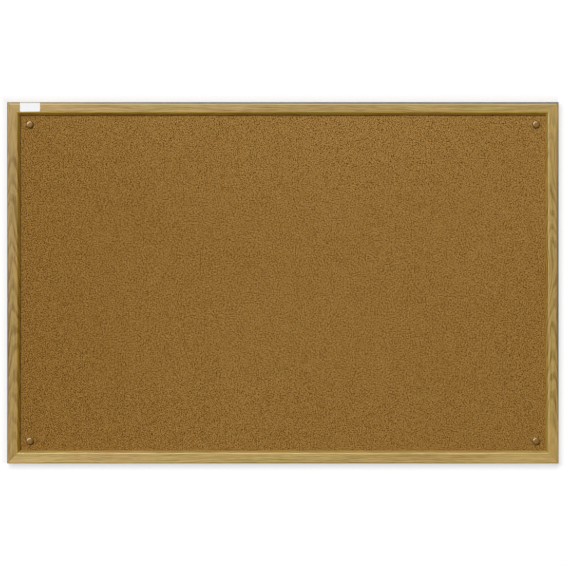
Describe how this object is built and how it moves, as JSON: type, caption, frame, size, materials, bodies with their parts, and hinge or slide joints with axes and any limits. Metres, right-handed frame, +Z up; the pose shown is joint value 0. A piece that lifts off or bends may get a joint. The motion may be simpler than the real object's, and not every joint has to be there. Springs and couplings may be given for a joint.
{
  "type": "cork board",
  "caption": "Framed cork notice board for a wall: mitred oak-look frame, set-back cork face and a capped screw fixing in each corner.",
  "frame": {"origin": "middle of the board's back, in the plane of the wall", "axes": "+X along the board's width, +Z up the wall, +Y back into the wall, so the cork faces -Y"},
  "size_m": [0.9, 0.0467, 0.59],
  "materials": {
    "oak_foil": "satin oak-look foil on fibreboard",
    "cork": "matt fine-grained agglomerated cork",
    "softboard": "fibrous softboard",
    "hardboard": "brown hardboard, mesh side out",
    "nail_steel": "plain strip steel",
    "cup_plastic": "moulded brown plastic",
    "zinc_steel": "zinc-plated steel",
    "cap_plastic": "satin moulded brown plastic"
  },
  "bodies": {
    "board": {"top_rail": "oak_foil", "bottom_rail": "oak_foil", "left_stile": "oak_foil", "right_stile": "oak_foil", "cork_sheet": "cork", "softboard_core": "softboard", "back_sheet": "hardboard", "v_nail_top_left_1": "nail_steel", "v_nail_top_left_2": "nail_steel", "v_nail_top_right_1": "nail_steel", "v_nail_top_right_2": "nail_steel", "v_nail_bottom_right_1": "nail_steel", "v_nail_bottom_right_2": "nail_steel", "v_nail_bottom_left_1": "nail_steel", "v_nail_bottom_left_2": "nail_steel", "fixing_cup_top_left": "cup_plastic", "fixing_cup_top_right": "cup_plastic", "fixing_cup_bottom_right": "cup_plastic", "fixing_cup_bottom_left": "cup_plastic", "fixing_screw_top_left": "zinc_steel", "fixing_screw_top_right": "zinc_steel", "fixing_screw_bottom_right": "zinc_steel", "fixing_screw_bottom_left": "zinc_steel"},
    "cap_top_left": {"screw_cap_top_left": "cap_plastic"},
    "cap_top_right": {"screw_cap_top_right": "cap_plastic"},
    "cap_bottom_right": {"screw_cap_bottom_right": "cap_plastic"},
    "cap_bottom_left": {"screw_cap_bottom_left": "cap_plastic"}
  },
  "joints": [
    {"name": "cap_top_left_pull", "type": "slide", "parent": "board", "child": "cap_top_left", "axis": [0, -1, 0], "range_m": [0, 0.015]},
    {"name": "cap_top_right_pull", "type": "slide", "parent": "board", "child": "cap_top_right", "axis": [0, -1, 0], "range_m": [0, 0.015]},
    {"name": "cap_bottom_right_pull", "type": "slide", "parent": "board", "child": "cap_bottom_right", "axis": [0, -1, 0], "range_m": [0, 0.015]},
    {"name": "cap_bottom_left_pull", "type": "slide", "parent": "board", "child": "cap_bottom_left", "axis": [0, -1, 0], "range_m": [0, 0.015]}
  ]
}
